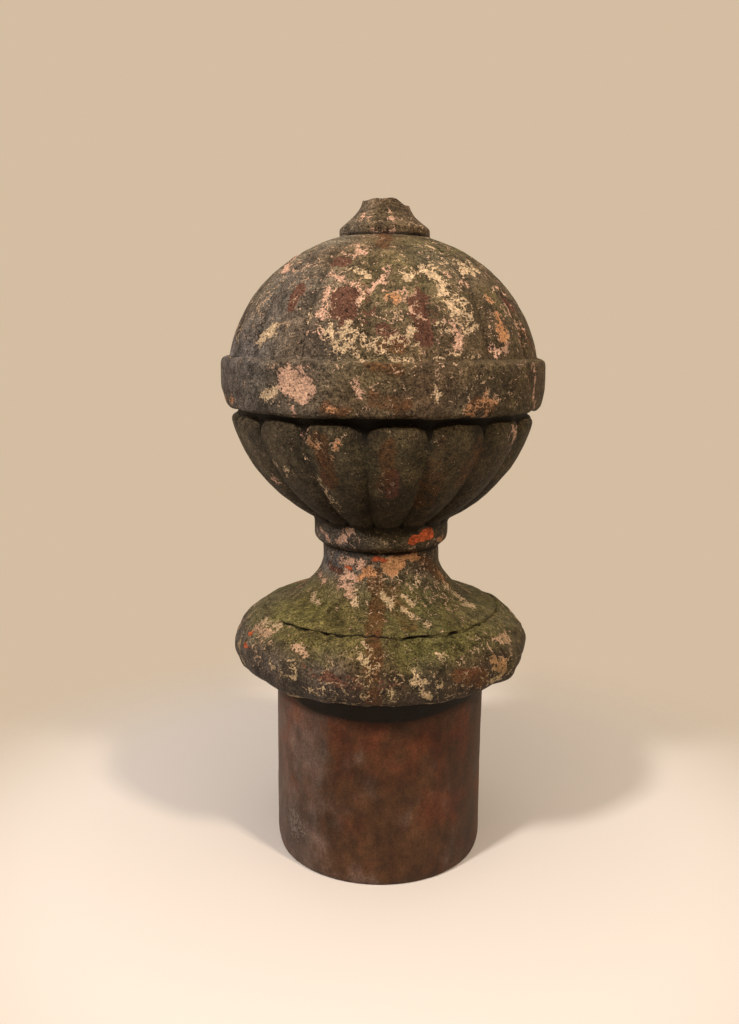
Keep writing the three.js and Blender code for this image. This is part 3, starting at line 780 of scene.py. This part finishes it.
def paint_layers(points, plain, height, hollow, grooved, outline):
    """How much of each paint layer shows at each point: the marks, and a scatter of small flakes
    that grows on edges and keeps out of the grooves, both made ragged by lumps. Also how dark the hollows
    are, partly dirt and partly painted shade."""
    ragged = 0.16 * lumps(points, 8 * MM, 51) + 0.22 * lumps(points, 4.2 * MM, 52)
    bent = bend(plain)
    cover = {}
    for name, marks in MARKS.items():
        far = [mark for row in FAR_MARKS[name] for mark in far_marks(*row)]
        cover[name] = mark_cover(bent, marks + far, outline)
    edge = np.clip(-hollow / (0.5 * MM), 0, 1)
    scatter = by_height(height, SCATTER) + 0.2 * lumps(points, 26 * MM, 53) + 0.1 * edge - 0.35 * grooved
    flake = np.maximum.reduce([cover["cream"], cover["pink"], cover["peach"], scatter])
    return {
        "flake": flake + ragged,
        "pink": np.clip(0.5 + cover["pink"] - cover["cream"] + 0.3 * lumps(points, 18 * MM, 54), 0, 1),
        "peach": np.clip(0.4 + cover["peach"], 0, 1),
        "stained": np.clip(by_height(height, STAINED) + 0.3 * lumps(points, 12 * MM, 56), 0, 1),
        "red_lead": cover["red_lead"] + ragged,
        "primer": cover["primer"] + 0.6 * ragged,
        "rust": cover["rust"] + 0.5 * ragged + 0.15 * lumps(points, 20 * MM, 55),
        "lichen": cover["lichen"] + ragged,
        # How dark the hollows are: partly dirt, partly painted shade.
        "dirt": smooth_step(hollow, 0.1 * MM, 1.6 * MM),
    }


def edge_chips(points, height, part, h):
    """Where the band's two edges and the foot's rim are bitten: lumps, on bell curves of the
    height from each edge."""
    edges = np.zeros(height.shape)
    for number, level, reach in ((BAND, h.band_foot, 2.4), (BAND, h.band_top, 2.4), (SPIGOT, 0, 1.6)):
        near = np.exp(-(((height - level) / (reach * MM)) ** 2))
        edges = np.maximum(edges, near * (part == number))
    bites = lumps(points, 6 * MM, 87) + 0.8 * lumps(points, 3 * MM, 88)
    bites += 0.35 * lumps(points, 22 * MM, 89)
    return edges * np.clip(bites + 0.1, 0, 1)


def shape_relief(points, azimuth, part, layers, relief):
    """How far each point moves out along its normal: broad sway, crust, the belly's lumps, the
    mould seam as a bell curve across the front, and the paint that has come off."""
    out = relief.sway * lumps(points, 42 * MM, 81)
    kinds = [part == CORE, part <= SPIGOT, part == BELLY, part == BOWL, part == STUMP]
    rough = np.select(kinds, [0.3, 0.45, 1.5, 0.7, 1.6], 1.0)
    out += relief.crust * rough * (lumps(points, 11 * MM, 82) + 0.8 * lumps(points, 5.5 * MM, 83))
    swollen = lumps(points, 17 * MM, 84) + 0.5 * lumps(points, 8 * MM, 85)
    out += np.where(part == BELLY, relief.belly_lumps * swollen, 0)
    across = np.sin(azimuth - math.radians(0.6)) * np.hypot(points[..., 0], points[..., 1])
    seam = np.exp(-((across / relief.seam_width) ** 2)) * (np.cos(azimuth) > 0)
    uneven = 0.7 + 0.3 * lumps(points, 15 * MM, 86)
    out += relief.seam_height * seam * np.isin(part, (BELLY, FLARE, DOME)) * uneven
    peeled = smooth_step(layers["flake"], 0.5, 0.75) + 0.6 * smooth_step(layers["primer"], 0.5, 0.75)
    out -= relief.peel * np.where(part >= BELLY, peeled, 0)
    return out


def crevice_cut(plain, azimuth, h, s, relief):
    """Depth of the dark lines round the casting: a bell curve of the way along the outline from
    each line, which wanders up and down as it goes round."""
    # Each line's radius, height, depth, half width and how far it may wander.
    lines = (
        (h.shoulder[0], h.groove[1] + 0.2 * s.shoulder_rise, 2.4 * MM, 0.65 * MM, 2.6),
        (*h.neck_top, 1.4 * MM, 1.4 * MM, 0.8),
        (h.dome_foot, h.band_top, 0.6 * MM, 1.5 * MM, 0.8),
        (h.ring, h.ring_foot, 2.0 * MM, 1.1 * MM, 0.4),
        (h.spigot, s.spigot_length, 1.2 * MM, 1.4 * MM, 0.4),
    )
    radius, height = np.hypot(plain[:, 0, 0], plain[:, 0, 1]), plain[:, 0, 2]
    along = np.cumsum(np.hypot(np.diff(radius, prepend=radius[0]), np.diff(height, prepend=height[0])))
    cut = np.zeros(plain.shape[:2])
    for number, (line_radius, line_height, depth, half_width, freedom) in enumerate(lines):
        row = np.argmin(np.hypot(radius - line_radius, height - line_height))
        ring = turned(line_radius, azimuth, line_height + 0 * azimuth)
        wander = lumps(ring, 13 * MM, 91 + number) + 0.7 * lumps(ring, 4.2 * MM, 97 + number)
        gap = along[:, None] - along[row] - freedom * relief.groove_wander * wander
        deeper = np.clip(0.9 + lumps(ring, 8 * MM, 103 + number), 0.5, 1.3)
        deeper = deeper * (1 - 0.7 * smooth_step(np.abs(np.sin(azimuth)), 0.7, 0.9))
        cut = np.maximum(cut, depth * deeper * np.exp(-((gap / half_width) ** 2)))
    return cut


def knock_band(points, azimuth, h, s, relief):
    """Takes off the band's lower edge round its left and right: the cut is deepest at the edge
    and runs out at mid height, and a bell curve round each side bounds it."""
    left = np.exp(-(((azimuth + math.pi / 2) / 0.45) ** 2))
    right = 0.6 * np.exp(-(((azimuth - math.pi / 2) / 0.4) ** 2))
    up = (points[..., 2] - h.band_foot) / (0.4 * s.band_height)
    radius = np.hypot(points[..., 0], points[..., 1])
    cut = relief.band_bevel * (left + right) * np.clip(1 - up, 0, 1)
    scale = 1 - cut / np.maximum(radius, MM)
    return points * np.stack([scale, scale, np.ones_like(scale)], axis=-1)


def closed_mesh(name, grid, material_rows):
    """A mesh from a grid of rows that closes round its columns, with its first and last rows
    drawn together to one point each. material_rows gives each row's material."""
    first, last = grid[0].mean(axis=0), grid[-1].mean(axis=0)
    body = grid[1:-1]
    count, columns = body.shape[:2]
    verts = np.concatenate([body.reshape(-1, 3), [first, last]])
    low = np.arange(count - 1)[:, None] * columns + np.arange(columns)[None, :]
    low_next = np.arange(count - 1)[:, None] * columns + np.roll(np.arange(columns), -1)[None, :]
    quads = np.stack([low, low_next, low_next + columns, low + columns], axis=-1).reshape(-1, 4)
    ring, ring_next = np.arange(columns), np.roll(np.arange(columns), -1)
    top = (count - 1) * columns
    start_fan = np.stack([np.full(columns, count * columns), ring_next, ring], axis=-1)
    end_fan = np.stack([top + ring, top + ring_next, np.full(columns, count * columns + 1)], axis=-1)
    fans = np.concatenate([start_fan, end_fan])
    mesh = bpy.data.meshes.new(name)
    mesh.vertices.add(len(verts))
    mesh.vertices.foreach_set("co", verts.astype(np.float32).ravel())
    corners = np.concatenate([quads.ravel(), fans.ravel()])
    mesh.loops.add(len(corners))
    mesh.loops.foreach_set("vertex_index", corners.astype(np.int32))
    starts = np.concatenate([np.arange(len(quads)) * 4, 4 * len(quads) + np.arange(len(fans)) * 3])
    mesh.polygons.add(len(starts))
    mesh.polygons.foreach_set("loop_start", starts.astype(np.int32))
    index = np.concatenate(
        [
            np.repeat(material_rows[1:-2], columns),
            np.full(columns, material_rows[1]),
            np.full(columns, material_rows[-2]),
        ]
    )
    mesh.polygons.foreach_set("material_index", index.astype(np.int32))
    mesh.polygons.foreach_set("use_smooth", np.ones(len(starts), dtype=bool))
    mesh.update(calc_edges=True)
    if mesh.validate():
        raise RuntimeError("the casting's mesh had faults")
    return mesh


def store(mesh, name, values):
    """Keeps a number or a colour for every vertex of a closed mesh, the two ends' last."""
    ends = np.stack([values[0].mean(axis=0), values[-1].mean(axis=0)])
    flat = np.concatenate([values[1:-1].reshape((-1,) + values.shape[2:]), ends])
    if flat.ndim == 1:
        layer = mesh.attributes.new(name, "FLOAT", "POINT")
        layer.data.foreach_set("value", flat.astype(np.float32))
        return
    layer = mesh.attributes.new(name, "FLOAT_COLOR", "POINT")
    full = np.concatenate([flat, np.ones((len(flat), 1))], axis=1)
    layer.data.foreach_set("color", full.astype(np.float32).ravel())


class Nodes:
    """Short calls for building one material's nodes. Sizes are in metres."""

    def __init__(self, name):
        self.material = bpy.data.materials.new(name)
        self.material.use_nodes = True
        self.tree = self.material.node_tree
        self.shader = self.tree.nodes["Principled BSDF"]
        self.place = self.add("ShaderNodeTexCoord").outputs["Object"]

    def add(self, kind, values=None, **settings):
        """A new node with these settings, whose inputs are linked or set to these values."""
        node = self.tree.nodes.new(kind)
        for key, value in settings.items():
            setattr(node, key, value)
        for key, value in (values or {}).items():
            self.put(node.inputs[key], value)
        return node

    def put(self, socket, value):
        """Links an output to the socket, or sets it to a number or a colour."""
        if isinstance(value, bpy.types.NodeSocket):
            self.tree.links.new(value, socket)
        elif hasattr(value, "__len__") and len(value) == 3 and len(socket.default_value) == 4:
            socket.default_value = (*value, 1)
        else:
            socket.default_value = value

    def noise(self, size, detail, roughness, shift=0.0, stretch=(1, 1, 1)):
        """Noise about size across, between 0 and 1."""
        values = {"Vector": self.place, "Location": (shift, shift, shift), "Scale": stretch}
        mapping = self.add("ShaderNodeMapping", values)
        values = {"Vector": mapping.outputs[0], "Scale": 1 / size, "Detail": detail, "Roughness": roughness}
        return self.add("ShaderNodeTexNoise", values).outputs["Fac"]

    def layer(self, name):
        """A number kept at the mesh's vertices."""
        return self.add("ShaderNodeAttribute", attribute_name=name).outputs["Fac"]

    def sum(self, *terms):
        """Adds sockets, each alone or with the number that it is multiplied by."""
        total = 0.0
        for term in terms:
            value, times = term if isinstance(term, tuple) else (term, 1.0)
            values = {0: value, 1: times, 2: total}
            total = self.add("ShaderNodeMath", values, operation="MULTIPLY_ADD").outputs[0]
        return total

    def spread(self, value, low, high, start, end, curve="LINEAR"):
        """A number that goes from start to end as value goes from low to high."""
        values = {"Value": value, "From Min": low, "From Max": high, "To Min": start, "To Max": end}
        return self.add("ShaderNodeMapRange", values, interpolation_type=curve).outputs["Result"]

    def step(self, value, low, high, start=0.0, end=1.0):
        """An S curve from start at low to end at high."""
        return self.spread(value, low, high, start, end, "SMOOTHSTEP")

    def ridge(self, value, width):
        """1 where noise crosses its middle, falling to 0 a width away on both sides."""
        off = self.add("ShaderNodeMath", {0: self.sum(value, (0.5, -1.0))}, operation="ABSOLUTE")
        return self.step(off.outputs[0], 0.0, width, 1.0, 0.0)

    def mix(self, amount, first, second):
        """The first colour where amount is 0 and the second where it is 1."""
        values = {0: amount, 6: first, 7: second}
        return self.add("ShaderNodeMix", values, data_type="RGBA").outputs[2]

    def lay(self, base, colour, amount, strength):
        """A colour laid over base, as thickly as amount times strength."""
        thick = self.add("ShaderNodeMath", {0: amount, 1: strength}, operation="MULTIPLY")
        return self.mix(thick.outputs[0], base, colour)

    def shade(self, base, value, darkest, lightest):
        """The colour base made darker or lighter as noise goes from its usual low to its high."""
        scale = self.spread(value, NOISE_LOW, NOISE_HIGH, darkest, lightest)
        return self.add("ShaderNodeVectorMath", {0: base, "Scale": scale}, operation="SCALE").outputs[0]

    def bump(self, height, distance):
        """Makes the surface look as uneven as height, whose full range is a distance."""
        node = self.add("ShaderNodeBump", {"Strength": 1.0, "Distance": distance, "Height": height})
        self.put(self.shader.inputs["Normal"], node.outputs["Normal"])

    def finish(self, base, roughness):
        """Sets the shader's colour and roughness, and gives the material."""
        self.put(self.shader.inputs["Base Color"], base)
        self.put(self.shader.inputs["Roughness"], roughness)
        self.shader.inputs["Specular IOR Level"].default_value = SHEEN
        return self.material


def flaking_paint(paint):
    """Layers of old paint. The top coat is gritty and stained, with a painted shadow round the
    flakes and near black crevices, partly dirt and partly painted shade. Where the flake number, two webs
    of wriggling lines and noise together pass a threshold the pale undercoat shows. The primer and
    the red lead show where their own numbers and the noise do."""
    n = Nodes("flaking_paint")
    fine = n.noise(3.6 * MM, 4, 0.62)
    web = n.ridge(n.noise(7.5 * MM, 4, 0.6, 0.3), 0.05)
    thread = n.ridge(n.noise(12 * MM, 5, 0.62, 5.2), 0.04)
    grit = n.noise(1.1 * MM, 3, 0.75, 0.7)
    coarse = n.noise(4.5 * MM, 5, 0.7, 1.1)
    blotch = n.noise(15 * MM, 4, 0.65, 1.9)
    ragged = n.sum((fine, 2.1), (grit, 0.35), (1.225, -1.0))
    flaking = n.sum(n.layer("flake"), ragged, (web, 0.5), (thread, 0.75), (0.2, -1.0))
    flake = n.step(flaking, 0.56, 0.64)
    flake_rim_shade = n.step(flaking, 0.2, 0.6)
    primer = n.step(n.sum(n.layer("primer"), (ragged, 0.6)), 0.4, 0.56)
    lead = n.step(n.sum(n.layer("red_lead"), ragged), 0.5, 0.6)
    rust = n.step(n.sum(n.layer("rust"), (ragged, 0.3), (coarse, 1.0), (0.5, -1.0)), 0.05, 0.7)
    lichen = n.step(n.sum(n.layer("lichen"), (ragged, 0.8)), 0.25, 1.1)

    coat = n.add("ShaderNodeAttribute", attribute_name="coat").outputs["Color"]
    base = n.shade(coat, blotch, 0.5, 1.45)
    base = n.shade(base, coarse, 0.3, 1.75)
    base = n.lay(base, n.shade(paint.lichen, coarse, 0.4, 1.6), lichen, 0.5)
    # A painted shadow round the flakes, as the paint's thick edge would cast it, in rust brown.
    base = n.lay(base, n.shade(paint.umber, coarse, 0.3, 1.1), flake_rim_shade, 0.5)
    base = n.lay(base, n.shade(paint.primer, coarse, 0.75, 1.3), primer, 0.92)
    base = n.lay(base, n.shade(paint.rust, fine, 0.3, 1.6), rust, 0.68)
    base = n.shade(base, grit, 0.12, 2.1)
    pale = n.mix(n.layer("pink"), paint.cream, paint.pink)
    pale = n.mix(n.layer("peach"), pale, paint.peach)
    pale = n.lay(pale, paint.stained, n.layer("stained"), 0.6)
    pale = n.shade(pale, fine, 1.45, 0.75)
    pale = n.shade(pale, grit, 0.42, 1.5)
    base = n.mix(flake, base, pale)
    base = n.mix(lead, base, n.shade(n.shade(paint.red_lead, fine, 1.5, 0.4), grit, 0.6, 1.3))

    pits = n.step(n.noise(1.6 * MM, 3, 0.65, 2.3), 0.58, 0.68)
    base = n.lay(base, paint.dirt, pits, 0.85)
    near = n.sum((n.noise(1.2 * MM, 2, 0.6, 3.1), 1.0), (n.step(n.layer("flake"), -0.25, 0.6), 0.1))
    specks = n.step(near, 0.685, 0.735)
    base = n.lay(base, pale, specks, 0.7)
    # Crevices darkened to near black: partly dirt, partly painted shade.
    filled = n.step(n.sum(n.layer("dirt"), (coarse, 0.8), (0.4, -1.0)), 0.05, 0.6)
    base = n.lay(base, paint.dirt, filled, 0.92)

    height = n.sum((grit, 1.0), (fine, 0.8), (coarse, 1.0), (flake, -0.3), (primer, -0.2), (pits, -0.6))
    n.bump(height, 1.8 * MM)
    rough = n.sum((grit, 0.3), (flake, 0.08), (0.45, 1.0))
    return n.finish(base, rough)


def rusty_iron(paint):
    """Bare cast iron under old brown rust: slow patches of redder, greyer and darker rust, drawn
    out downwards, a fine grain and pale chips. The grey on the left is partly painted cool light, the
    darkening up towards the belly is partly painted shade, and right under the belly a near black painted
    shadow falls."""
    n = Nodes("rusty_iron")
    slow = n.noise(30 * MM, 6, 0.62, 0.2, (1, 1, 0.7))
    other = n.noise(24 * MM, 6, 0.62, 2.9, (1, 1, 0.7))
    mottle = n.noise(11 * MM, 5, 0.64, 0.9, (1, 1, 0.75))
    grain = n.noise(1.3 * MM, 3, 0.7, 1.7)
    base = n.shade(paint.bare, mottle, 0.52, 1.35)
    # Greyer to the left: partly grey skin, partly painted cool light from the left.
    ashen_and_cool_light = n.step(n.sum((other, 2.4), (n.layer("ashen_and_cool_light"), 0.7), (1.15, -1.0)), 0.2, 0.95)
    base = n.lay(base, n.shade(paint.bare_grey_and_cool_light, mottle, 0.65, 1.35), ashen_and_cool_light, 0.85)
    ruddy = n.step(n.sum((slow, 2.0), (n.layer("ruddy"), 0.4), (0.75, -1.0)), 0.25, 0.75)
    base = n.lay(base, n.shade(paint.bare_red, mottle, 0.5, 1.45), ruddy, 0.8)
    # Darker up towards the belly and in the hollow: partly soot, partly painted shade.
    soot_and_shade = n.step(n.sum((slow, -1.2), (other, 0.8), (n.layer("soot_and_shade"), 0.9), (0.4, 1.0)), 0.3, 0.95)
    base = n.lay(base, paint.bare_dark_and_shade, soot_and_shade, 0.6)
    base = n.shade(base, n.noise(15 * MM, 4, 0.65, 6.1, (1, 1, 0.7)), 0.78, 1.18)
    base = n.shade(base, n.noise(45 * MM, 3, 0.6, 7.3, (1, 1, 0.5)), 0.62, 1.28)
    base = n.shade(base, grain, 0.68, 1.35)
    chips = n.step(n.sum(n.noise(1.6 * MM, 3, 0.7, 4.3), (n.layer("scratched"), 0.26)), 0.7, 0.8)
    base = n.lay(base, paint.bare_chips, chips, 0.5)
    # A painted shadow, near black, under the belly's overhang.
    under = n.step(n.sum(n.layer("shaded"), (mottle, 0.3), (0.15, -1.0)), -0.12, 0.16)
    base = n.lay(base, paint.dirt, under, 0.94)
    n.bump(n.sum((grain, 0.6), (mottle, 1.0), (chips, -0.3)), 0.6 * MM)
    return n.finish(base, n.sum((mottle, 0.35), (0.4, 1.0)))


# What makes the rows, in their order along the outline.
ROW_MAKERS = (
    core_rows, foot_rows, belly_rows, shoulder_rows, collar_rows, bowl_rows, band_rows, dome_rows,
    stump_rows,
)


class FINIAL_OT_casting(bpy.types.Operator):
    """Makes the whole finial as one hollow casting, with its paint layers kept at its vertices"""

    bl_idname = "finial.casting"
    bl_label = "Finial casting"

    def execute(self, context):
        scene = context.scene
        s, relief, paint = scene.finial_sizes, scene.finial_relief, scene.finial_paint
        h = heights(s)
        rows = np.concatenate([make(s, h) for make in ROW_MAKERS])
        part = rows[:, PART].astype(int)[:, None]
        within, azimuth = lobe_columns(s)
        radius, height = carved_grid(rows, within, azimuth, s, h, relief)
        grid = soften_rows(turned(radius, azimuth, height), part, 3)
        plain, outline = plain_form(rows, radius, height, azimuth)

        normals = grid_normals(grid)
        hollow = hollowness(grid, normals, 3)
        hollow = hollow * np.where(part == DOME, DOME_DIRT_AND_SHADE, 1)
        grooved = rows[:, LOBE, None] / s.bowl_lobe_depth * np.abs(1 - 2 * within)[None, :] ** 5
        layers = paint_layers(grid, plain, plain[..., 2], hollow, grooved, outline)
        crevice = crevice_cut(plain, azimuth, h, s, relief)
        # The dark lines round the casting add to the crevice darkening: partly dirt, partly painted shade.
        layers["dirt"] = np.maximum(layers["dirt"], smooth_step(crevice, 0.3 * MM, 1.5 * MM))
        out = shape_relief(grid, azimuth, part, layers, relief) - crevice
        out = out - relief.groove_cut * grooved - relief.chips * edge_chips(grid, plain[..., 2], part, h)
        ends_flat = np.where(part <= FOOT, 0.15, 1.0)
        grid = grid + normals * (out * ends_flat)[..., None]
        grid[..., 2] = np.maximum(grid[..., 2], 0)
        knocked = knock_band(grid, azimuth, h, s, relief)
        grid = np.where((part == BAND)[..., None], knocked, grid)

        bare = (part[:, 0] < BELLY).astype(int)
        mesh = closed_mesh("finial_casting", grid, bare)
        for name, values in layers.items():
            store(mesh, name, values)
        store(mesh, "coat", coat_colours(grid, azimuth, plain[..., 2], grooved, paint))
        store_iron_tones(mesh, grid, azimuth, part)
        mesh.materials.append(flaking_paint(paint))
        mesh.materials.append(rusty_iron(paint))
        casting = bpy.data.objects.new("finial_casting", mesh)
        scene.collection.objects.link(casting)
        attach(casting, "root")
        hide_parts("finial")
        return {"FINISHED"}


def patch(degrees, height, place, reach):
    """A bell curve of azimuth and height: 1 at its place, and little beyond its reach."""
    return np.exp(-(((degrees - place[0]) / reach[0]) ** 2) - ((height - place[1]) / reach[1]) ** 2)


def store_iron_tones(mesh, grid, azimuth, part):
    """How red, grey, dark and scratched the bare iron is: redder to the front right and high up,
    greyer to the left, partly as painted cool light, darker up towards the belly and in the hollow, partly
    as painted shade, and darkest in the belly's painted shadow right under it."""
    height = grid[..., 2] / MM
    degrees = np.degrees(azimuth) + 0 * height
    ruddy = 0.75 * patch(degrees, height, (14, 95), (22, 22))
    ruddy += 0.55 * patch(degrees, height, (34, 60), (20, 40))
    ruddy += 0.8 * patch(degrees, height, (-45, 108), (22, 12))
    # Millimetres over the lower edge of the belly's painted shadow, which rises to the sides.
    under = height - SHADE_FOOT - 8 * np.abs(np.sin(azimuth)) ** 1.5 + 2 * lumps(grid, 20 * MM, 92)
    tones = {
        "ruddy": ruddy,
        # Greyer to the left: partly grey skin, partly painted cool light from the left.
        "ashen_and_cool_light": 1.25 * smooth_step(-degrees, -10, 80) + 0.25 * smooth_step(-height, -30, -5),
        # Darker up towards the belly and inside the hollow: partly soot, partly painted shade.
        "soot_and_shade": 0.35 * smooth_step(height, 85, 112) + np.where(part == CORE, 0.4, 0),
        "scratched": patch(degrees, height, (-52, 28), (12, 16)),
        "shaded": np.clip(under / 10, -1, 1),
    }
    for name, values in tones.items():
        store(mesh, name, values)


def soft_light(scene, name, place, width, power, tint):
    """A square light that faces the finial and isn't itself seen."""
    data = bpy.data.lights.new(name, "AREA")
    data.shape = "SQUARE"
    data.size = width
    data.energy = power
    data.color = tint
    light = bpy.data.objects.new(name, data)
    light.location = place
    light.rotation_euler = (Vector(LIGHT_AIM) - Vector(place)).to_track_quat("-Z", "Y").to_euler()
    light.visible_camera = False
    scene.collection.objects.link(light)


def pale_floor(scene, stage):
    """A level floor, near white round the finial, that fades into the background."""
    half = stage.floor_reach
    mesh = bpy.data.meshes.new("floor")
    corners = [(-half, -half, 0), (half, -half, 0), (half, half, 0), (-half, half, 0)]
    mesh.from_pydata(corners, [], [(0, 1, 2, 3)])
    n = Nodes("pale_floor")
    away = n.add("ShaderNodeVectorMath", {0: n.place}, operation="LENGTH")
    n.put(n.shader.inputs["Alpha"], n.step(away.outputs["Value"], 0.45 * half, 0.95 * half, 1.0, 0.0))
    n.put(n.shader.inputs["Base Color"], stage.floor)
    n.shader.inputs["Roughness"].default_value = 0.9
    mesh.materials.append(n.material)
    floor = bpy.data.objects.new("floor", mesh)
    scene.collection.objects.link(floor)


def front_camera(scene, stage):
    """The camera: yaw turns its line of sight to the right, pitch turns it down, and roll turns
    the frame about it."""
    pitch, yaw, roll = stage.camera_pitch, stage.camera_yaw, stage.camera_roll
    ahead = Vector((math.sin(yaw) * math.cos(pitch), math.cos(yaw) * math.cos(pitch), -math.sin(pitch)))
    level = Vector((math.cos(yaw), -math.sin(yaw), 0))
    upright = level.cross(ahead)
    right = math.cos(roll) * level + math.sin(roll) * upright
    up = math.cos(roll) * upright - math.sin(roll) * level
    data = bpy.data.cameras.new("camera")
    data.sensor_width = SENSOR_WIDTH
    data.lens = stage.camera_lens
    data.clip_start = NEAREST_SEEN
    camera = bpy.data.objects.new("camera", data)
    turn = Matrix((right, up, -ahead)).transposed().to_4x4()
    camera.matrix_world = Matrix.Translation((0, -stage.camera_distance, stage.camera_height)) @ turn
    scene.collection.objects.link(camera)
    scene.camera = camera


class FINIAL_OT_stage(bpy.types.Operator):
    """Sets the floor, the background, the lights and the camera"""

    bl_idname = "finial.stage"
    bl_label = "Finial stage"

    def execute(self, context):
        scene = context.scene
        stage = scene.finial_stage
        pale_floor(scene, stage)
        # Each light's name, place, width, power and colour.
        lights = (
            ("left_light", (-0.9, -1.0, 1.3), 0.18, stage.key_power, stage.left_light),
            ("right_light", (0.9, -1.0, 1.3), 0.18, 0.75 * stage.key_power, stage.right_light),
            ("top_light", (0, -0.2, 1.9), 1.6, stage.top_power, stage.top_light),
        )
        for light in lights:
            soft_light(scene, *light)
        world = scene.world or bpy.data.worlds.new("world")
        scene.world = world
        world.use_nodes = True
        background = world.node_tree.nodes["Background"]
        background.inputs["Color"].default_value = (*stage.far, 1)
        background.inputs["Strength"].default_value = 1.0
        world.cycles_visibility.diffuse = False
        scene.view_settings.view_transform = "Standard"
        front_camera(scene, stage)
        return {"FINISHED"}


class FINIAL_PT_panel(bpy.types.Panel):
    """Lists what makes the finial"""

    bl_idname = "FINIAL_PT_panel"
    bl_label = "Roof finial"
    bl_space_type = "VIEW_3D"
    bl_region_type = "UI"
    bl_category = "Finial"

    def draw(self, context):
        for operator in OPERATORS:
            self.layout.operator(operator.bl_idname)


OPERATORS = (FINIAL_OT_casting, FINIAL_OT_stage)
GROUPS = {
    "finial_sizes": FinialSizes,
    "finial_relief": FinialRelief,
    "finial_paint": FinialPaint,
    "finial_stage": FinialStage,
}


def register():
    for cls in (*GROUPS.values(), *OPERATORS, FINIAL_PT_panel):
        bpy.utils.register_class(cls)
    for name, group in GROUPS.items():
        setattr(bpy.types.Scene, name, bpy.props.PointerProperty(type=group))


def unregister():
    for name in GROUPS:
        delattr(bpy.types.Scene, name)
    for cls in (FINIAL_PT_panel, *reversed(OPERATORS), *reversed(GROUPS.values())):
        bpy.utils.unregister_class(cls)


def main():
    register()
    bpy.ops.finial.casting()
    bpy.ops.finial.stage()


if __name__ == "__main__":
    main()
